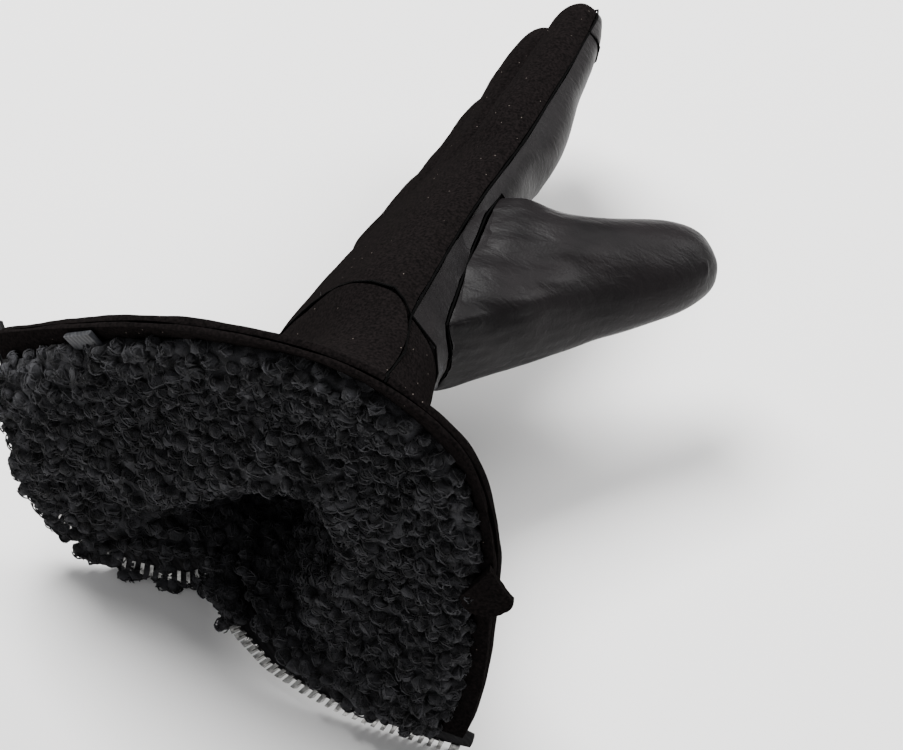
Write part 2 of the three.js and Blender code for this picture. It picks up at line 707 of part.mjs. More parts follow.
// The two halves of the open zip: a tape, its teeth and a stop at the hem
for (const [side, column] of [["back", 0], ["palm", RING]]) {
  const stations = edgeStations(column);
  const length = stations.at(-1).at;
  const flip = column !== 0;
  const tape = [];
  for (const station of stations) {
    const at = THREE.MathUtils.clamp(station.at, ZIP_START, length - GAP);
    tape.push(barSection(stationAt(stations, at), GAP, TAPE_WIDTH, TAPE_DEPTH, TAPE_DEPTH + TAPE));
  }
  addPiece(`zip_tape_${side}`, sweep(turnedOut(tape, flip)), cloth);
  const teeth = [];
  const bar = (at, reach, proud) => barSection(stationAt(stations, at), TAPE_WIDTH + GAP,
    TAPE_WIDTH + reach, TAPE_DEPTH - proud, TAPE_DEPTH + TAPE + proud);
  const bead = (at) => bar(at, BEAD_WIDTH, BEAD_PROUD);
  const tooth = (at) => bar(at, TOOTH_LENGTH, TOOTH_PROUD);
  const last = length - STOP_LENGTH - 2 * GAP - TOOTH_PITCH;
  for (let at = ZIP_START + SLIDER_ROOM; at < last; at += TOOTH_PITCH) {
    teeth.push(bead(at), tooth(at + TOOTH_STEP));
    teeth.push(tooth(at + TOOTH_THICKNESS - TOOTH_STEP), bead(at + TOOTH_THICKNESS));
  }
  addPiece(`zip_teeth_${side}`, sweep(turnedOut(teeth, flip)), nickel);
  const stop = [length - STOP_LENGTH, length - GAP].map(tooth);
  addPiece(`zip_stop_${side}`, sweep(turnedOut(stop, flip)), nickel);
}

// A flat shape pushed to a thickness, standing at a spot with its own three ways
function plate(shape, thickness, spot, right, up) {
  const settings = { depth: thickness, bevelEnabled: false, curveSegments: 6 };
  const geometry = new THREE.ExtrudeGeometry(shape, settings);
  const facingWay = right.clone().cross(up);
  geometry.applyMatrix4(new THREE.Matrix4().makeBasis(right, up, facingWay).setPosition(spot));
  return geometry;
}
// A place on the hem: its outer edge, its outward face, the way round and the way down the cuff
function hemPlace(column) {
  const row = cuffGrid.length - 1;
  const spot = skin.points[cuffGrid[row][column]].clone();
  const normal = normals[cuffGrid[row][column]].clone();
  const ahead = skin.points[cuffGrid[row][column + 1]];
  const around = ahead.clone().sub(skin.points[cuffGrid[row][column - 1]]);
  around.addScaledVector(normal, -around.dot(normal)).normalize();
  const down = normal.clone().cross(around);
  const beyond = spot.clone().sub(skin.points[cuffGrid[row - 1][column]]);
  if (down.dot(beyond) < 0) down.negate();
  return { spot, normal, around, down };
}

// The pull tab: a tear-drop sewn to the hem, lying over the facing and the pile
const tabAt = hemPlace(TAB_COLUMN);
const tabShape = new THREE.Shape();
tabShape.moveTo(-TAB_LENGTH / 2, 0);
const tabRoundAt = (TAB_LENGTH - TAB_WIDTH) / 2;
const tabNeckAt = -TAB_LENGTH * TAB_NECK_SHARE;
tabShape.quadraticCurveTo(tabNeckAt, TAB_WIDTH / 4, tabRoundAt, TAB_WIDTH / 2);
tabShape.absarc(tabRoundAt, 0, TAB_WIDTH / 2, Math.PI / 2, -Math.PI / 2, true);
tabShape.quadraticCurveTo(tabNeckAt, -TAB_WIDTH / 4, -TAB_LENGTH / 2, 0);
const tabTilt = THREE.MathUtils.degToRad(TAB_TILT_DEG);
const tabUp = tabAt.down.clone().multiplyScalar(Math.cos(tabTilt));
tabUp.addScaledVector(tabAt.normal, Math.sin(tabTilt));
const tabSpot = tabAt.spot.clone().addScaledVector(tabAt.normal, -facingIn - TAB_CLEARANCE);
tabSpot.addScaledVector(tabAt.down, -TAB_INSET);
const tabRight = tabAt.around.clone();
const tabIn = tabRight.clone().cross(tabUp);
if (tabIn.dot(tabAt.normal) > 0) tabRight.negate();
addPiece("pull_tab", plate(tabShape, CLOTH, tabSpot, tabRight, tabUp), cloth);

// The hanging loop: a folded woven ribbon on the facing of the back lobe
const loopAt = hemPlace(LOOP_COLUMN);
const loopShape = new THREE.Shape();
const loopEnd = LOOP_LENGTH / 2 - LOOP_THICKNESS / 2;
loopShape.moveTo(-loopEnd, -LOOP_THICKNESS / 2);
loopShape.lineTo(loopEnd, -LOOP_THICKNESS / 2);
loopShape.absarc(loopEnd, 0, LOOP_THICKNESS / 2, -Math.PI / 2, Math.PI / 2, false);
loopShape.lineTo(-loopEnd, LOOP_THICKNESS / 2);
loopShape.absarc(-loopEnd, 0, LOOP_THICKNESS / 2, Math.PI / 2, (3 * Math.PI) / 2, false);
const loopSpot = loopAt.spot.clone().addScaledVector(loopAt.normal, -facingIn - LOOP_THICKNESS / 2 - 2 * GAP);
loopSpot.addScaledVector(loopAt.down, -LOOP_INSET);
const loopRight = loopAt.around.clone();
const loopOut = loopAt.normal.clone().negate();
if (loopRight.clone().cross(loopOut).dot(loopAt.down) > 0) loopRight.negate();
addPiece("ribbon_loop", plate(loopShape, LOOP_WIDTH, loopSpot, loopRight, loopOut), ribbon);

// The slider waits at the closed end of the slit, under the cuff
const slitEnd = cuffGrid[CLOSED_CUFF_ROWS][0];
const sliderOut = normals[slitEnd].clone();
const sliderDown = edgeStations(0)[0].spot.clone().sub(skin.points[cuffGrid[0][0]]);
sliderDown.addScaledVector(sliderOut, -sliderDown.dot(sliderOut)).normalize();
const sliderShape = new THREE.Shape();
sliderShape.moveTo(-SLIDER_WIDTH / 2, -SLIDER_LENGTH / 2);
sliderShape.lineTo(SLIDER_WIDTH / 2, -SLIDER_LENGTH / 2);
sliderShape.lineTo(SLIDER_WIDTH / 3, SLIDER_LENGTH / 2);
sliderShape.lineTo(PULLER_WIDTH / 2, SLIDER_LENGTH / 2 + PULLER_LENGTH);
sliderShape.lineTo(-PULLER_WIDTH / 2, SLIDER_LENGTH / 2 + PULLER_LENGTH);
sliderShape.lineTo(-SLIDER_WIDTH / 3, SLIDER_LENGTH / 2);
const sliderSpot = skin.points[slitEnd].clone().addScaledVector(sliderOut, SLIDER_CLEARANCE);
const sliderUp = sliderDown.clone().negate();
const sliderRight = sliderUp.clone().cross(sliderOut);
addPiece("zip_slider", plate(sliderShape, SLIDER_THICKNESS, sliderSpot, sliderRight, sliderUp), nickel);

// The glove stands with the middle of its base at the origin
const base = new THREE.Box3().setFromObject(glove);
glove.position.set(-(base.min.x + base.max.x) / 2, -(base.min.y + base.max.y) / 2, -base.min.z);

export default glove;
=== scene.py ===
# A left-hand winter glove lying open on a pale floor: dark nappa leather palm and thumb,
# matt black softshell back and cuff, a curly charcoal pile lining and an open nickel zip.
import bpy
import math
import numpy as np
from mathutils import Matrix, Vector
from mathutils.bvhtree import BVHTree


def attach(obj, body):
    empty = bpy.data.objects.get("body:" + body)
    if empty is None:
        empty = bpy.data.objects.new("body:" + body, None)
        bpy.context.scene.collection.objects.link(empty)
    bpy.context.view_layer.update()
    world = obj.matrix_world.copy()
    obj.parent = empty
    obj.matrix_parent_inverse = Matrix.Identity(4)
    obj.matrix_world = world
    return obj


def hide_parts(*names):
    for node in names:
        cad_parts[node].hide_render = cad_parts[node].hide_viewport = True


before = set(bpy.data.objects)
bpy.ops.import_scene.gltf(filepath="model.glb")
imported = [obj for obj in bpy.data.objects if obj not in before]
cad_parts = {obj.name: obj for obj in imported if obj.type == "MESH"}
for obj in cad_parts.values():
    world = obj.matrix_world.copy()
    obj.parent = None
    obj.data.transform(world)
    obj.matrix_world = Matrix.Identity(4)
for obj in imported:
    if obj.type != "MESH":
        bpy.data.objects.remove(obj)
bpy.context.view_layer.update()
MM = 0.001
FULL_TURN = 6.28
FLOOR_GAP = 0.05 * MM

# Camera: where it looks from, and how far in pixels the wrist is off the picture's centre
WRIST = Vector((-0.00263, -0.05332, 0.0577))
TO_CAMERA = Vector((0.263, -0.592, 0.762))
CAMERA_RIGHT = Vector((0.920, 0.391, -0.013))
CAMERA_DISTANCE = 0.850
LENS = 107.6
SENSOR_WIDTH = 36
NEAREST_SEEN = 0.01
FRAME_WIDTH = 903
OFF_CENTRE = (126.5, 13)

# Leather: heights in millimetres of its waves, folds and creases, how folds and creases are
# stretched, and the places in millimetres, each with its reach, where they gather
LEATHER_WAVE = 0.26
LEATHER_FOLD = 0.12
LEATHER_CREASE = 0.1
CREASE_EVERYWHERE = 0.25
FOLD_STRETCH = np.array([0.8, 1.1, 1.0])
CREASE_STRETCH = np.array([0.8, 1.2, 1.0])
WRIST_FOLDS = ((25, -45, 80), 60)
WRIST_FOLD = 0.3
THUMB_FOLDS = ((40, 0, 80), 45)
THUMB_FOLD = 0.34

# Waves over the other soft pieces: height in millimetres, length in millimetres, seed
CLOTH_WAVES = [(0.3, 40, 13), (0.12, 13, 17)]
BACKING_WAVES = [(0.7, 9, 21), (0.4, 4.5, 23)]
KNOT_WAVES = [(0.5, 2.6, 25), (0.3, 5, 27)]
TAB_WAVES = [(0.15, 9, 71)]

# Seams: how far apart two rims may be and still be sewn, and the thread's radius
SEAM_REACH = 4.2 * MM
SEAM_THREAD = 0.36 * MM

# Pile backing: the roll over the wrist and the hollow under it, as routes in millimetres
ROLL_RIDGE = [(-44, -109, 61), (-25, -110, 80), (-3, -113, 97), (17, -116, 109), (31, -117, 108),
              (39, -114, 93), (41, -111, 71), (39, -113, 52), (27, -112, 33)]
ROLL_MIDDLE = np.array((-2, -112, 57)) * MM
ROLL_SPREAD = 17 * MM
ROLL_LIFT = 11 * MM
ROLL_INWARD = 0.75
ROLL_TO_HEM = np.array((0, -0.66, 0))
HOLLOW = [(-38, -96, 36), (-30, -88, 28), (-20, -80, 22), (-1, -79, 27)]
HOLLOW_SPREAD = 15 * MM
HOLLOW_SINK = 4.5 * MM
ROUTE_STEPS = 9
CLEAR_REACH = 5 * MM
CLEAR_START = 0.4

# Pile's open side: how far its faces are from the cloth and from the zip's teeth at least
BACKING_REACH = 1.9 * MM
ZIP_CLEAR = 6.5 * MM

# Pile knots: lumpy balls of wool. Lumps, width, height and reach are shares of a knot's radius.
# A knot by the cloth is kept smaller, so that it reaches at most CLOTH_ROOM into the cloth.
PILE_SEED = 41
KNOT_SEED = 43
KNOT_SHAPES = 3
KNOT_LUMPS = 0.22
KNOT_TRIES = 60000
KNOT_SPACING = 4.1 * MM
KNOT_RADIUS = (1.9 * MM, 3.0 * MM)
KNOT_ACROSS = (0.7, 1.1)
KNOT_HEIGHT = 0.85
KNOT_REACH = 1.35
KNOT_LEAN = 0.35
KNOT_LIFT = 0.7 * MM
CLOTH_ROOM = 1.2 * MM
TAPE_ROOM = 1.0

# Pile knots that hang over the zip's tape
RIM_KNOTS = [
    # side, count, slit only, seed
    ("back", 320, False, 45),
    ("palm", 90, True, 47),
]
RIM_TRIES = 4
RIM_LIFT = (0.6 * MM, 2.6 * MM)
RIM_REACH = 34 * MM
RIM_OVERHANG = 4.2 * MM
HEM_CLEAR = 13 * MM

# Curled yarn: short arcs over each knot, with their bow and height as shares of its radius
YARNS_PER_KNOT = 8
YARN_THREAD = 0.3 * MM
YARN_SIDES = 3
YARN_STEPS = 7
YARN_LEAN = 0.55
YARN_BESIDE = 0.65
YARN_WAVE = 0.22
YARN_WAVES = 5
YARN_BOW = (0.95, 1.3)
YARN_NARROWEST = 0.1
YARN_TURN = (0.7, 1.5)
YARN_HEIGHT = 0.9
YARN_POLE = np.array([0.31, 0.22, 0.92])
TAPER_END = 0.25
TAPER_POWER = 0.4

# Strays: flyaway fibres
STRAY_SEED = 61
STRAY_COUNT = 1300
STRAY_LENGTH = (4 * MM, 9 * MM)
STRAY_RISE = 0.6
STRAY_BEND = (0.5 * MM, 2.5 * MM)
STRAY_TURN = (3, 8)
STRAY_THREAD = 0.07 * MM

# Zip: how far its tape runs on under the cloth and the bead, and how near the tape the bead is
TUCK = 3.2 * MM
BEAD_OVERLAP = 1.5 * MM
BEAD_REACH = 2 * MM

# Rounded edges of the metal and of the ribbon
TOOTH_ROUND = 0.4 * MM
STOP_ROUND = 0.5 * MM
SLIDER_ROUND = 0.7 * MM
RIBBON_ROUND = 0.2 * MM

# Floor and light
FLOOR_SIZE = 6
GLOVE_MIDDLE = Vector((0, 0, 0.06))
WORLD_LIGHT = 0.38
LIGHTS = [
    # name, where, size, watts
    ("key_softbox", (-0.5, 0.3, 1.4), 0.7, 56),
    ("rim_softbox", (0.9, 0.7, 1.0), 0.7, 22),
    ("front_fill", (0.2, -1.3, 1.0), 0.9, 1.2),
]


# Helpers for picking and shaping pieces
def pick(*objects):
    if bpy.context.object and bpy.context.object.mode != "OBJECT":
        bpy.ops.object.mode_set(mode="OBJECT")
    bpy.ops.object.select_all(action="DESELECT")
    for obj in objects:
        obj.select_set(True)
    bpy.context.view_layer.objects.active = objects[0]


def new_object(name, data):
    obj = bpy.data.objects.new(name, data)
    bpy.context.collection.objects.link(obj)
    return obj


def apply_modifier(obj, kind, **settings):
    pick(obj)
    modifier = obj.modifiers.new(kind.lower(), kind)
    for key, value in settings.items():
        setattr(modifier, key, value)
    bpy.ops.object.modifier_apply(modifier=modifier.name)


def clean_copy(node, name, quads=True):
    """A copy of a CAD solid with its loose triangles merged into faces."""
    piece = new_object(name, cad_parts[node].data.copy())
    pick(piece)
    bpy.ops.mesh.customdata_custom_splitnormals_clear()
    bpy.ops.object.mode_set(mode="EDIT")
    bpy.ops.mesh.select_all(action="SELECT")
    bpy.ops.mesh.remove_doubles(threshold=3e-6)
    if quads:
        bpy.ops.mesh.tris_convert_to_quads(face_threshold=0.9, shape_threshold=1.2)
    bpy.ops.object.mode_set(mode="OBJECT")
    piece.data.materials.clear()
    return piece


def select_sharp(piece, degrees):
    """Goes into edit mode with the piece's sharp edges selected."""
    pick(piece)
    bpy.ops.object.mode_set(mode="EDIT")
    bpy.ops.mesh.select_all(action="DESELECT")
    bpy.ops.mesh.select_mode(type="EDGE")
    bpy.ops.mesh.edges_select_sharp(sharpness=math.radians(degrees))


def soft_shell(node, name, levels=2, crease=0.95, sharp=55, widen=None):
    """A sewn panel: the CAD panel with its turned edges kept and the rest rounded."""
    piece = clean_copy(node, name)
    if widen:
        widen(piece)
    select_sharp(piece, sharp)
    bpy.ops.transform.edge_crease(value=crease)
    bpy.ops.object.mode_set(mode="OBJECT")
    apply_modifier(piece, "SUBSURF", levels=levels, render_levels=levels)
    return piece


def smooth(piece, degrees=40):
    pick(piece)
    bpy.ops.object.shade_smooth_by_angle(angle=math.radians(degrees))


def round_edges(piece, width, segments=3):
    apply_modifier(piece, "BEVEL", width=width, segments=segments, limit_method="ANGLE")
    smooth(piece)


def points_of(piece):
    count = len(piece.data.vertices)
    places = np.empty(count * 3)
    normals = np.empty(count * 3)
    piece.data.vertices.foreach_get("co", places)
    piece.data.vertices.foreach_get("normal", normals)
    return places.reshape(-1, 3), normals.reshape(-1, 3)


def move_points(piece, places):
    piece.data.vertices.foreach_set("co", places.ravel())
    piece.data.update()


def relief(piece, height):
    """Moves each point along its normal by height(places), in metres, but not through the floor."""
    places, normals = points_of(piece)
    moved = places + normals * height(places)[:, None]
    moved[:, 2] = np.maximum(moved[:, 2], np.minimum(places[:, 2], 0.0))
    move_points(piece, moved)


def swell(places, length, seed, ways=8):
    """Soft uneven waves of about the given length, from -1 to 1 or so."""
    rng = np.random.default_rng(seed)
    total = np.zeros(len(places))
    for _ in range(ways):
        way = rng.normal(size=3)
        way /= np.linalg.norm(way)
        turn = 2 * math.pi / length * rng.uniform(0.7, 1.4)
        total += np.sin(places @ way * turn + rng.uniform(0, 2 * math.pi))
    return total / math.sqrt(ways)


def waves(rows):
    """The height function of a table of waves."""
    return lambda places: MM * sum(height * swell(places, length * MM, seed)
                                   for height, length, seed in rows)


def unit(vectors):
    return vectors / np.linalg.norm(vectors, axis=-1, keepdims=True)


def fade(gap):
    """1 at a gap of 0, falling softly to 0 at a gap of 1."""
    share = np.clip(1 - gap, 0, 1)
    return share ** 2 * (3 - 2 * share)


def tree_of(*nodes):
    """A search tree over the faces of some CAD nodes."""
    places, faces = [], []
    for node in nodes:
        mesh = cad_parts[node].data
        start = len(places)
        places += [vertex.co.copy() for vertex in mesh.vertices]
        faces += [[start + i for i in polygon.vertices] for polygon in mesh.polygons]
    return BVHTree.FromPolygons(places, faces)


def gap_to(tree, place):
    return tree.find_nearest(Vector(place))[3]


def new_mesh(name, places, faces):
    """A piece from places and faces of one number of sides, kept above the floor."""
    places = np.array(places, float)
    places[:, 2] = np.maximum(places[:, 2], FLOOR_GAP)
    mesh = bpy.data.meshes.new(name)
    mesh.vertices.add(len(places))
    mesh.vertices.foreach_set("co", places.ravel())
    faces = np.asarray(faces, int)
    sides = faces.shape[1]
    mesh.loops.add(faces.size)
    mesh.loops.foreach_set("vertex_index", faces.ravel())
    mesh.polygons.add(len(faces))
    mesh.polygons.foreach_set("loop_start", np.arange(len(faces)) * sides)
    mesh.update(calc_edges=True)
    mesh.validate()
    return new_object(name, mesh)


def finish_piece(piece, finish, slot, *nodes):
    piece.data.materials.clear()
    piece.data.materials.append(finish)
    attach(piece, "root")
    if nodes:
        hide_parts(*nodes)


# Materials
def linear(text):
    values = [int(text[i:i + 2], 16) / 255 for i in (1, 3, 5)]
    curve = [v / 12.92 if v <= 0.04045 else ((v + 0.055) / 1.055) ** 2.4 for v in values]
    return (*curve, 1.0)


def add(tree, kind, inputs=None, **settings):
    node = tree.nodes.new(kind)
    for key, value in settings.items():
        setattr(node, key, value)
    for key, value in (inputs or {}).items():
        if isinstance(value, bpy.types.NodeSocket):
            tree.links.new(value, node.inputs[key])
        else:
            node.inputs[key].default_value = value
    return node


def per_mm(length):
    """The texture scale whose features are the given length in millimetres."""
    return 1000 / length


def new_finish(name, **settings):
    """A material with its shader's settings, and the place that its patterns read."""
    finish = bpy.data.materials.new(name)
    finish.use_nodes = True
    tree = finish.node_tree
    shader = tree.nodes["Principled BSDF"]
    for key, value in settings.items():
        shader.inputs[key.replace("_", " ")].default_value = value
    place = add(tree, "ShaderNodeTexCoord").outputs["Object"]
    return finish, tree, shader, place


def two_tone(tree, shader, place, dark, light, size, detail=4):
    """Colours a finish with soft patches of two tones, of a size in millimetres."""
    patch = add(tree, "ShaderNodeTexNoise",
                {"Vector": place, "Scale": per_mm(size), "Detail": detail})
    spread = add(tree, "ShaderNodeMapRange",
                 {"Value": patch.outputs[0], "From Min": 0.35, "From Max": 0.65})
    tone = add(tree, "ShaderNodeMix",
               {"Factor": spread.outputs[0], 6: linear(dark), 7: linear(light)}, data_type="RGBA")
    tree.links.new(tone.outputs[2], shader.inputs["Base Color"])
    return tone.outputs[2]


# Nappa leather: drum-dyed sheepskin with a smooth sealed grain, so it shows a broad satin
# highlight, fine pebbled grain and soft stretch wrinkles.
def nappa():
    finish, tree, shader, place = new_finish("nappa_leather", Metallic=0.0, IOR=1.45,
                                             Specular_IOR_Level=0.14)
    two_tone(tree, shader, place, "#0b090a", "#151213", 22)
    wear = add(tree, "ShaderNodeTexNoise", {"Vector": place, "Scale": per_mm(9), "Detail": 5})
    rough = add(tree, "ShaderNodeMapRange",
                {"Value": wear.outputs[0], "To Min": 0.4, "To Max": 0.6})
    tree.links.new(rough.outputs[0], shader.inputs["Roughness"])
    stretch = add(tree, "ShaderNodeMapping",
                  {"Vector": place, "Scale": (0.35, 1.0, 0.6), "Rotation": (0.3, 0.4, 0.5)})
    fold = add(tree, "ShaderNodeTexNoise",
               {"Vector": stretch.outputs[0], "Scale": per_mm(2.6), "Detail": 6, "Distortion": 0.7})
    folded = add(tree, "ShaderNodeBump", {"Height": fold.outputs[0], "Distance": 0.3 * MM})
    grain = add(tree, "ShaderNodeTexVoronoi", {"Vector": place, "Scale": per_mm(0.9)})
    pebbled = add(tree, "ShaderNodeBump", {"Height": grain.outputs[0], "Distance": 0.04 * MM,
                                           "Normal": folded.outputs[0]})
    tree.links.new(pebbled.outputs[0], shader.inputs["Normal"])
    return finish


# Softshell: a bonded polyester knit, matt and nearly black, with short nap that catches
# a little side light and holds pale specks of lint.
def softshell():
    finish, tree, shader, place = new_finish("softshell_cloth", Roughness=1.0, Sheen_Weight=0.02,
                                             Sheen_Roughness=0.6, Sheen_Tint=linear("#85817e"),
                                             Specular_IOR_Level=0.0)
    tone = two_tone(tree, shader, place, "#090808", "#151212", 0.9, 5)
    lint = add(tree, "ShaderNodeTexVoronoi", {"Vector": place, "Scale": per_mm(4.0)})
    tiny = add(tree, "ShaderNodeMath", {0: lint.outputs[0], 1: 0.05}, operation="LESS_THAN")
    speck = add(tree, "ShaderNodeMix",
                {"Factor": tiny.outputs[0], 6: tone, 7: linear("#5a534e")}, data_type="RGBA")
    tree.links.new(speck.outputs[2], shader.inputs["Base Color"])
    drape = add(tree, "ShaderNodeTexNoise", {"Vector": place, "Scale": per_mm(7), "Detail": 3})
    draped = add(tree, "ShaderNodeBump", {"Height": drape.outputs[0], "Distance": 0.5 * MM})
    nap = add(tree, "ShaderNodeTexNoise", {"Vector": place, "Scale": per_mm(0.7), "Detail": 3})
    napped = add(tree, "ShaderNodeBump", {"Height": nap.outputs[0], "Distance": 0.18 * MM,
                                          "Normal": draped.outputs[0]})
    tree.links.new(napped.outputs[0], shader.inputs["Normal"])
    return finish


# Curly pile: wool-like bouclé yarn knots, charcoal black, that scatter light softly along
# their fibres and go dark between the knots.
def boucle():
    finish, tree, shader, place = new_finish("boucle_pile", Roughness=1.0, Sheen_Weight=0.24,
                                             Sheen_Roughness=0.45, Sheen_Tint=linear("#8c8c8e"),
                                             Specular_IOR_Level=0.25)
    two_tone(tree, shader, place, "#0e0e0f", "#38383b", 4.5, 5)
    yarn = add(tree, "ShaderNodeTexNoise",
               {"Vector": place, "Scale": per_mm(0.8), "Detail": 4, "Distortion": 2.0})
    curled = add(tree, "ShaderNodeBump", {"Height": yarn.outputs[0], "Distance": 0.5 * MM})
    tree.links.new(curled.outputs[0], shader.inputs["Normal"])
    return finish


# Woven polyester: tape and ribbon, with rows of tight weave across the band.
def woven(name, dark, light, pitch, shine):
    finish, tree, shader, place = new_finish(name, Roughness=shine, Specular_IOR_Level=0.3)
    two_tone(tree, shader, place, dark, light, 3)
    rows = add(tree, "ShaderNodeTexWave",
               {"Vector": place, "Scale": per_mm(pitch) / FULL_TURN, "Distortion": 0.6},
               bands_direction="DIAGONAL")
    ribbed = add(tree, "ShaderNodeBump", {"Height": rows.outputs[1], "Distance": 0.14 * MM})
    tree.links.new(ribbed.outputs[0], shader.inputs["Normal"])
    return finish


# Nickel plate on zinc: bright and a little milky, with fine tumbling marks.
def nickel():
    finish, tree, shader, place = new_finish("nickel_plate", Metallic=1.0)
    two_tone(tree, shader, place, "#6f6e6d", "#b9b8b5", 1.6)
    marks = add(tree, "ShaderNodeTexNoise", {"Vector": place, "Scale": per_mm(0.6), "Detail": 3})
    rough = add(tree, "ShaderNodeMapRange",
                {"Value": marks.outputs[0], "To Min": 0.14, "To Max": 0.32})
    tree.links.new(rough.outputs[0], shader.inputs["Roughness"])
    marked = add(tree, "ShaderNodeBump", {"Height": marks.outputs[0], "Distance": 0.02 * MM})
    tree.links.new(marked.outputs[0], shader.inputs["Normal"])
    return finish


# Sewing thread: tightly twisted black polyester, sunk in the seam, so it hardly shines.
def thread():
    finish, tree, shader, place = new_finish("sewing_thread", Roughness=0.95,
                                             Specular_IOR_Level=0.05)
    two_tone(tree, shader, place, "#020202", "#050505", 2)
    twist = add(tree, "ShaderNodeTexNoise", {"Vector": place, "Scale": per_mm(0.5)})
    twisted = add(tree, "ShaderNodeBump", {"Height": twist.outputs[0], "Distance": 0.1 * MM})
    tree.links.new(twisted.outputs[0], shader.inputs["Normal"])
    return finish


# Floor paper: pale matt stock with faint broad clouds.
def paper():
    finish, tree, shader, place = new_finish("pale_paper", Roughness=0.9)
    two_tone(tree, shader, place, "#f6f5f4", "#f8f7f6", 400)
    return finish


NAPPA = nappa()
SOFTSHELL = softshell()
BOUCLE = boucle()
TAPE = woven("zip_tape_twill", "#0f0e0f", "#1d1c1e", 0.7, 0.85)
RIBBON = woven("grosgrain_ribbon", "#1b1c1f", "#2b2c30", 0.6, 0.6)
NICKEL = nickel()
THREAD = thread()


# Sewn leather and cloth panels
def near(places, centre, reach):
    """1 at a place, fading to 0 a reach away, both in millimetres."""
    return fade(np.linalg.norm(places - np.array(centre) * MM, axis=1) / (reach * MM))


def leather_height(places):
    broad = swell(places, 34 * MM, 3)
    folds = swell(places * FOLD_STRETCH, 15 * MM, 5)
    fine = swell(places * CREASE_STRETCH, 5 * MM, 9)
    wrist = near(places, *WRIST_FOLDS)
    thumb_root = near(places, *THUMB_FOLDS)
    folding = LEATHER_FOLD + WRIST_FOLD * wrist + THUMB_FOLD * thumb_root
    creasing = LEATHER_CREASE * (CREASE_EVERYWHERE + wrist + thumb_root)
    return MM * (LEATHER_WAVE * broad + folding * folds + creasing * fine)


PANELS = [
    # node, finish, slot, levels, height
    ("palm", NAPPA, "leather", 2, leather_height),
    ("index_touch_patch", NAPPA, "leather", 3, leather_height),
    ("thumb", NAPPA, "leather", 3, leather_height),
    ("back_of_hand", SOFTSHELL, "softshell", 2, waves(CLOTH_WAVES)),
    ("cuff_back", SOFTSHELL, "softshell", 2, waves(CLOTH_WAVES)),
    ("cuff_palm", SOFTSHELL, "softshell", 2, waves(CLOTH_WAVES)),
    ("hem_facing", SOFTSHELL, "softshell", 2, waves(CLOTH_WAVES)),
]
for node, finish, slot, levels, height in PANELS:
    panel = soft_shell(node, f"sewn_{node}", levels)
    relief(panel, height)
    smooth(panel, 50)
    finish_piece(panel, finish, slot, node)


# Seams: a thread line sunk between each two panels that are sewn together
def rim_edges(node):
    """The sharp border edges of a panel, as pairs of places."""
    probe = clean_copy(node, f"rim_{node}", quads=False)
    select_sharp(probe, 60)
    bpy.ops.object.mode_set(mode="OBJECT")
    mesh = probe.data
    pairs = [tuple(mesh.vertices[i].co.copy() for i in edge.vertices)
             for edge in mesh.edges if edge.select]
    bpy.data.objects.remove(probe, do_unlink=True)
    return pairs


SEAM_PAIRS = [
    ("back_of_hand", "palm"), ("back_of_hand", "index_touch_patch"), ("back_of_hand", "cuff_back"),
    ("palm", "cuff_palm"), ("palm", "thumb"), ("palm", "index_touch_patch"),
    ("cuff_back", "cuff_palm"),
]
rims = {node: rim_edges(node) for node in sorted({node for pair in SEAM_PAIRS for node in pair})}


def seam_line(first, second):
    """A thread halfway between two panels' rims where they meet, or nothing."""
    ends = [place for pair in rims[second] for place in pair]
    targets = np.array([tuple(end) for end in ends])
    places, edges, order = [], [], {}
    for pair in rims[first]:
        ids = []
        for place in pair:
            gap = np.linalg.norm(targets - np.array(place), axis=1)
            nearest = int(gap.argmin())
            if gap[nearest] > SEAM_REACH:
                break
            key = tuple(round(v, 6) for v in place)
            if key not in order:
                order[key] = len(places)
                places.append((place + ends[nearest]) / 2)
            ids.append(order[key])
        if len(ids) == 2:
            edges.append(ids)
    if not edges:
        return None
    mesh = bpy.data.meshes.new("seam")
    mesh.from_pydata([tuple(place) for place in places], edges, [])
    pick(new_object(f"seam_{first}_{second}", mesh))
    bpy.ops.object.convert(target="CURVE")
    line = bpy.context.object
    line.data.bevel_depth = SEAM_THREAD
    line.data.bevel_resolution = 1
    line.data.use_fill_caps = True
    pick(line)
    bpy.ops.object.convert(target="MESH")
    return bpy.context.object


for first, second in SEAM_PAIRS:
    line = seam_line(first, second)
    if line:
        smooth(line, 60)
        finish_piece(line, THREAD, "softshell")


# The pile's backing, with its roll raised and its hollow pressed in
def share_along(places, route, spread):
    """1 on a route of spots in millimetres, fading to 0 a spread away."""
    spots = np.array(route) * MM
    steps = np.linspace(0, 1, ROUTE_STEPS)[:, None]
    line = np.concatenate([a + (b - a) * steps for a, b in zip(spots, spots[1:])])
    return fade(np.linalg.norm(places[:, None] - line[None], axis=2).min(1) / spread)


def raise_roll(piece):
    """Swells the lining's open side along the roll and presses in the hollow under it."""
    places, normals = points_of(piece)
    way = ROLL_INWARD * unit(ROLL_MIDDLE - places) + ROLL_TO_HEM
    clear = np.array([gap_to(shells, place) for place in places])
    free = np.clip(clear / CLEAR_REACH - CLEAR_START, 0, 1)
    lift = share_along(places, ROLL_RIDGE, ROLL_SPREAD) * free * ROLL_LIFT
    sink = share_along(places, HOLLOW, HOLLOW_SPREAD) * free * HOLLOW_SINK
    move_points(piece, places + (way * lift[:, None] - normals * sink[:, None]))


shells = tree_of("cuff_back", "cuff_palm", "back_of_hand", "palm", "hem_facing")
palm_row = tree_of("zip_teeth_palm")
pile = soft_shell("pile_lining", "pile_backing", 2, 0.2)
raise_roll(pile)
relief(pile, waves(BACKING_WAVES))
smooth(pile, 60)
finish_piece(pile, BOUCLE, "pile", "pile_lining")


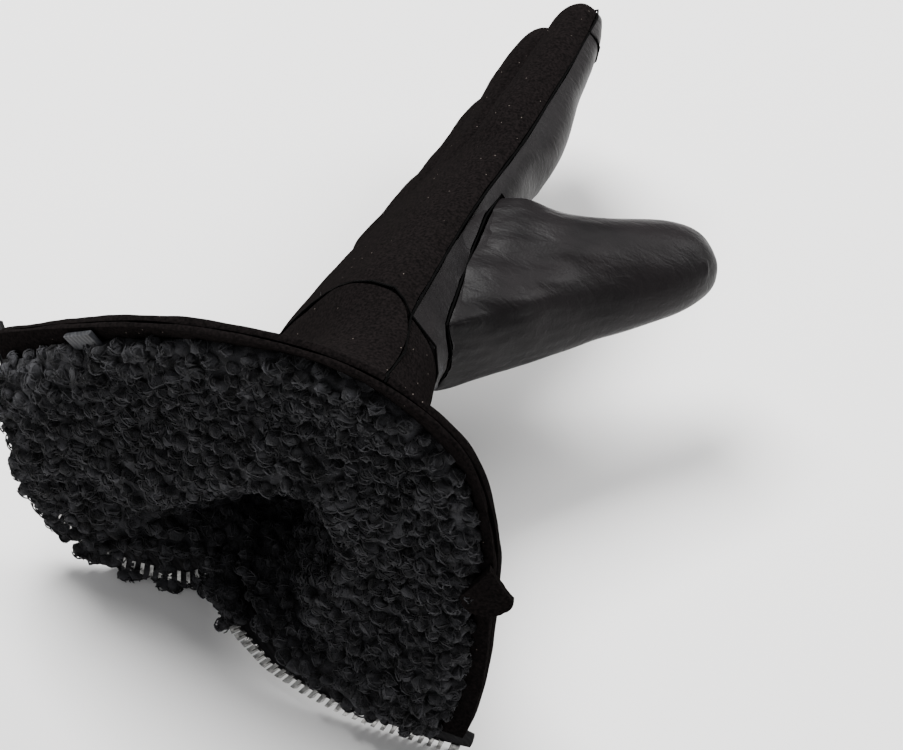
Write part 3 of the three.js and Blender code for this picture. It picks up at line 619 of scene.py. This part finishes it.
# Knots, curls and strays grown from the pile's open side
def open_side(piece):
    """The pile's faces that stand clear of the shells and of the zip on the palm's side."""
    rows = []
    for polygon in piece.data.polygons:
        middle = polygon.center
        if gap_to(shells, middle) > BACKING_REACH and gap_to(palm_row, middle) > ZIP_CLEAR:
            corners = [piece.data.vertices[i].co for i in polygon.vertices]
            rows.append((polygon.area, corners, polygon.normal.copy()))
    return rows


def facing_tree():
    """A search tree over the open faces."""
    places, faces = [], []
    for _, corners, _ in open_faces:
        faces.append(list(range(len(places), len(places) + len(corners))))
        places += corners
    return BVHTree.FromPolygons(places, faces)


open_faces = open_side(pile)
areas = np.array([row[0] for row in open_faces])
open_tree = facing_tree()
slider_points = [vertex.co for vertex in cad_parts["zip_slider"].data.vertices]
slit_end = sum(slider_points, Vector()) / len(slider_points)


def scatter(count, seed, spacing=0.0):
    """Places with normals over the open side, no two closer than the spacing."""
    rng = np.random.default_rng(seed)
    tries = rng.choice(len(open_faces), size=count, p=areas / areas.sum())
    places, ways, cells = [], [], {}
    for index in tries:
        _, corners, normal = open_faces[index]
        weights = rng.dirichlet(np.ones(len(corners)))
        place = sum((np.array(corner) * w for corner, w in zip(corners, weights)), np.zeros(3))
        if spacing:
            cell = tuple((place / spacing).astype(int))
            around = [q for x in (-1, 0, 1) for y in (-1, 0, 1) for z in (-1, 0, 1)
                      for q in cells.get((cell[0] + x, cell[1] + y, cell[2] + z), ())]
            if any(np.dot(place - q, place - q) < spacing ** 2 for q in around):
                continue
            cells.setdefault(cell, []).append(place)
        places.append(place)
        ways.append(np.array(normal))
    return np.array(places), np.array(ways)


def rim_knots(side, count, slit_only, seed):
    """Places for knots that hang over a zip tape from the pile behind it."""
    rng = np.random.default_rng(seed)
    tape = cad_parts[f"zip_tape_{side}"].data
    row = tree_of(f"zip_teeth_{side}")
    stop = tree_of(f"zip_stop_{side}")
    area = np.array([polygon.area for polygon in tape.polygons])
    places, ways = [], []
    for index in rng.choice(len(area), size=count * RIM_TRIES, p=area / area.sum()):
        corners = np.array([tape.vertices[i].co for i in tape.polygons[index].vertices])
        place = rng.dirichlet(np.ones(len(corners))) @ corners
        if slit_only and (Vector(place) - slit_end).length > RIM_REACH:
            continue
        if gap_to(stop, place) < HEM_CLEAR:
            continue
        way = np.array(open_tree.find_nearest(Vector(place))[1])
        out = np.array(row.find_nearest(Vector(place))[0]) - place
        place = place + out / max(np.linalg.norm(out), 1e-6) * rng.uniform(0, RIM_OVERHANG)
        places.append(place + way * rng.uniform(*RIM_LIFT))
        ways.append(way)
    return np.array(places[:count]), np.array(ways[:count])


def knot_beds():
    """Each knot's place, its way out and its room to the cloth."""
    lining = scatter(KNOT_TRIES, KNOT_SEED, KNOT_SPACING)
    groups = [lining] + [rim_knots(*row) for row in RIM_KNOTS]
    places, ways = (np.concatenate(parts) for parts in zip(*groups))
    room = np.full(len(places), TAPE_ROOM)
    room[:len(lining[0])] = [gap_to(shells, place) for place in lining[0]]
    return places, ways, room


def turned(ways, rng):
    """A frame for each place: two random ways along the surface and the way out."""
    side = rng.normal(size=ways.shape)
    side = unit(side - ways * (side * ways).sum(1)[:, None])
    return np.stack([side, np.cross(ways, side), ways], axis=2)


def leaning(ways, amount, rng):
    return unit(ways + rng.normal(scale=amount, size=ways.shape))


def in_frames(local, frames, places):
    """Each place's own points, turned into its frame and moved there."""
    return np.einsum("nij,nkj->nki", frames, local) + places[:, None, :]


def grow(name, shape, faces, places, frames, sizes):
    """One mesh of a small shape repeated at each place, in its own frame and size."""
    spots = in_frames(shape[None] * sizes[:, None, :], frames, places)
    index = faces[None, :, :] + (np.arange(len(places)) * len(shape))[:, None, None]
    return new_mesh(name, spots.reshape(-1, 3), index.reshape(-1, faces.shape[1]))


def finish_pile(piece):
    pick(piece)
    bpy.ops.object.shade_smooth()
    finish_piece(piece, BOUCLE, "pile")


def knot_shapes():
    """A few lumpy balls, modelled once each from an icosphere."""
    shapes = []
    for seed in range(1, KNOT_SHAPES + 1):
        bpy.ops.mesh.primitive_ico_sphere_add(subdivisions=2, radius=1)
        ball = bpy.context.object
        bpy.ops.object.mode_set(mode="EDIT")
        bpy.ops.mesh.select_all(action="SELECT")
        bpy.ops.transform.vertex_random(offset=KNOT_LUMPS, seed=seed)
        bpy.ops.object.mode_set(mode="OBJECT")
        places, _ = points_of(ball)
        faces = np.array([list(polygon.vertices) for polygon in ball.data.polygons])
        bpy.data.objects.remove(ball, do_unlink=True)
        shapes.append((places, faces))
    return shapes


def strand_rings(lines, thickness):
    """Rings of points round many lines: lines is (count, steps, 3)."""
    ahead = unit(np.gradient(lines, axis=1))
    side = unit(np.cross(ahead, np.broadcast_to(YARN_POLE, ahead.shape)))
    other = np.cross(ahead, side)
    along = np.linspace(TAPER_END, math.pi - TAPER_END, lines.shape[1])
    taper = (np.sin(along) ** TAPER_POWER * thickness)[None, :, None]
    rings = []
    for k in range(YARN_SIDES):
        turn = 2 * math.pi * k / YARN_SIDES
        rings.append(lines + (side * math.cos(turn) + other * math.sin(turn)) * taper)
    return np.stack(rings, axis=2)


def strands(name, lines, thickness):
    """One mesh of thin three-sided strands, each closed at both ends."""
    rings = strand_rings(lines, thickness)
    count, steps = rings.shape[:2]
    faces = []
    for step in range(steps - 1):
        for k in range(YARN_SIDES):
            following = (k + 1) % YARN_SIDES
            a, b = step * YARN_SIDES + k, step * YARN_SIDES + following
            c, d = b + YARN_SIDES, a + YARN_SIDES
            faces += [(a, b, c), (a, c, d)]
    last = (steps - 1) * YARN_SIDES
    faces += [(0, 2, 1), (last, last + 1, last + 2)]
    index = np.array(faces)[None] + (np.arange(count) * steps * YARN_SIDES)[:, None, None]
    finish_pile(new_mesh(name, rings.reshape(-1, 3), index.reshape(-1, 3)))


def wind_yarn(middles, ways, radius, rng):
    """A short arc of curled yarn over the top of each knot."""
    each = (len(middles), 1)
    frames = turned(leaning(ways, YARN_LEAN, rng), rng)
    offset = rng.uniform(-YARN_BESIDE, YARN_BESIDE, each)
    phase = np.linspace(0, YARN_WAVES, YARN_STEPS)[None, :] + rng.uniform(0, FULL_TURN, each)
    beside = offset + YARN_WAVE * np.sin(phase)
    reach = radius[:, None] * rng.uniform(*YARN_BOW, each)
    bow = np.sqrt(np.clip(1 - beside ** 2, YARN_NARROWEST, 1)) * reach
    turn = np.linspace(-1, 1, YARN_STEPS)[None, :] * rng.uniform(*YARN_TURN, each)
    local = np.stack([bow * np.sin(turn), beside * reach, bow * np.cos(turn) * YARN_HEIGHT], axis=2)
    return in_frames(local, frames, middles)


def add_knots(rng):
    """The knots in groups, one for each shape, with curled yarn wound over them."""
    beds = knot_beds()
    for number, (shape, faces) in enumerate(knot_shapes()):
        places, ways, room = (values[number::KNOT_SHAPES] for values in beds)
        count = len(places)
        radius = np.minimum(rng.uniform(*KNOT_RADIUS, size=count), (room + CLOTH_ROOM) / KNOT_REACH)
        across = radius * rng.uniform(*KNOT_ACROSS, count)
        sizes = np.stack([radius, across, radius * KNOT_HEIGHT], axis=1)
        frames = turned(leaning(ways, KNOT_LEAN, rng), rng)
        middles = places + ways * KNOT_LIFT
        knots = grow(f"pile_knots_{number}", shape, faces, middles, frames, sizes)
        relief(knots, waves(KNOT_WAVES))
        finish_pile(knots)
        yarns = [wind_yarn(middles, ways, radius, rng) for _ in range(YARNS_PER_KNOT)]
        strands(f"pile_curls_{number}", np.concatenate(yarns), YARN_THREAD)


def add_strays(rng):
    """Flyaway fibres that stand out from the pile in loose bends."""
    places, ways = scatter(STRAY_COUNT, STRAY_SEED)
    frames = turned(ways, rng)
    each = (len(places), 1)
    length = rng.uniform(*STRAY_LENGTH, size=each)
    share = np.linspace(0, 1, YARN_STEPS)[None, :]
    bend = rng.uniform(*STRAY_BEND, size=each)
    local = np.stack([bend * np.sin(share * rng.uniform(*STRAY_TURN, each)),
                      bend * np.cos(share * rng.uniform(*STRAY_TURN, each)),
                      share * length * STRAY_RISE], axis=2)
    strands("pile_strays", in_frames(local, frames, places), STRAY_THREAD)


pile_rng = np.random.default_rng(PILE_SEED)
add_knots(pile_rng)
add_strays(pile_rng)


# The zip: tape, teeth on their bead, stops and the slider
def tuck_in(tape, row):
    """Widens the tape, so that it runs on under the cloth at one edge and the bead at the other."""
    places, _ = points_of(tape)
    by_teeth = np.array([gap_to(row, place) for place in places]) < BEAD_REACH
    moved = places.copy()
    for index, place in enumerate(places):
        partners = places[by_teeth != by_teeth[index]]
        away = place - partners[np.linalg.norm(partners - place, axis=1).argmin()]
        step = BEAD_OVERLAP if by_teeth[index] else TUCK
        moved[index] += away / np.linalg.norm(away) * step
    move_points(tape, moved)


for side in ("back", "palm"):
    row = tree_of(f"zip_teeth_{side}")
    band = tree_of(f"zip_tape_{side}")
    tape = soft_shell(f"zip_tape_{side}", f"woven_tape_{side}", 2, 0.9,
                      widen=lambda piece, row=row: tuck_in(piece, row))
    smooth(tape)
    finish_piece(tape, TAPE, "tape", f"zip_tape_{side}")
    teeth = clean_copy(f"zip_teeth_{side}", f"nickel_teeth_{side}")
    reach = [gap_to(band, vertex.co) for vertex in teeth.data.vertices]
    finish_piece(teeth, NICKEL, "nickel", f"zip_teeth_{side}")
    # The bead that joins the teeth is cloth, like the tape
    teeth.data.materials.append(TAPE)
    for polygon in teeth.data.polygons:
        if max(reach[i] for i in polygon.vertices) < BEAD_REACH:
            polygon.material_index = 1
    round_edges(teeth, TOOTH_ROUND)
    stop = clean_copy(f"zip_stop_{side}", f"nickel_stop_{side}")
    round_edges(stop, STOP_ROUND)
    finish_piece(stop, NICKEL, "nickel", f"zip_stop_{side}")

slider = clean_copy("zip_slider", "nickel_slider")
round_edges(slider, SLIDER_ROUND)
finish_piece(slider, NICKEL, "nickel", "zip_slider")

# Pull tab and ribbon loop
tab = soft_shell("pull_tab", "softshell_tab", 1, 0.9, 40)
relief(tab, waves(TAB_WAVES))
smooth(tab, 50)
finish_piece(tab, SOFTSHELL, "softshell", "pull_tab")
loop = clean_copy("ribbon_loop", "grosgrain_loop")
round_edges(loop, RIBBON_ROUND, 2)
finish_piece(loop, RIBBON, "ribbon", "ribbon_loop")

# Floor, light and camera
bpy.ops.object.select_all(action="DESELECT")
bpy.ops.mesh.primitive_plane_add(size=FLOOR_SIZE, location=(0, 0, 0))
floor = bpy.context.object
floor.name = "pale_floor"
floor.data.materials.append(paper())

world = bpy.data.worlds.new("studio")
bpy.context.scene.world = world
world.use_nodes = True
background = world.node_tree.nodes["Background"]
background.inputs["Color"].default_value = linear("#f4f5f7")
background.inputs["Strength"].default_value = WORLD_LIGHT

for name, where, size, watts in LIGHTS:
    lamp = bpy.data.lights.new(name, "AREA")
    lamp.size = size
    lamp.energy = watts
    light = new_object(name, lamp)
    light.location = where
    light.rotation_euler = (GLOVE_MIDDLE - Vector(where)).to_track_quat("-Z", "Y").to_euler()

back_way = TO_CAMERA.normalized()
right_way = (CAMERA_RIGHT - back_way * CAMERA_RIGHT.dot(back_way)).normalized()
up_way = back_way.cross(right_way)
lens = bpy.data.cameras.new("camera")
lens.lens = LENS
lens.sensor_width = SENSOR_WIDTH
lens.shift_x = OFF_CENTRE[0] / FRAME_WIDTH
lens.shift_y = OFF_CENTRE[1] / FRAME_WIDTH
lens.clip_start = NEAREST_SEEN
camera = new_object("camera", lens)
turn = Matrix((right_way, up_way, back_way)).transposed().to_4x4()
camera.matrix_world = Matrix.Translation(WRIST + back_way * CAMERA_DISTANCE) @ turn
bpy.context.scene.camera = camera
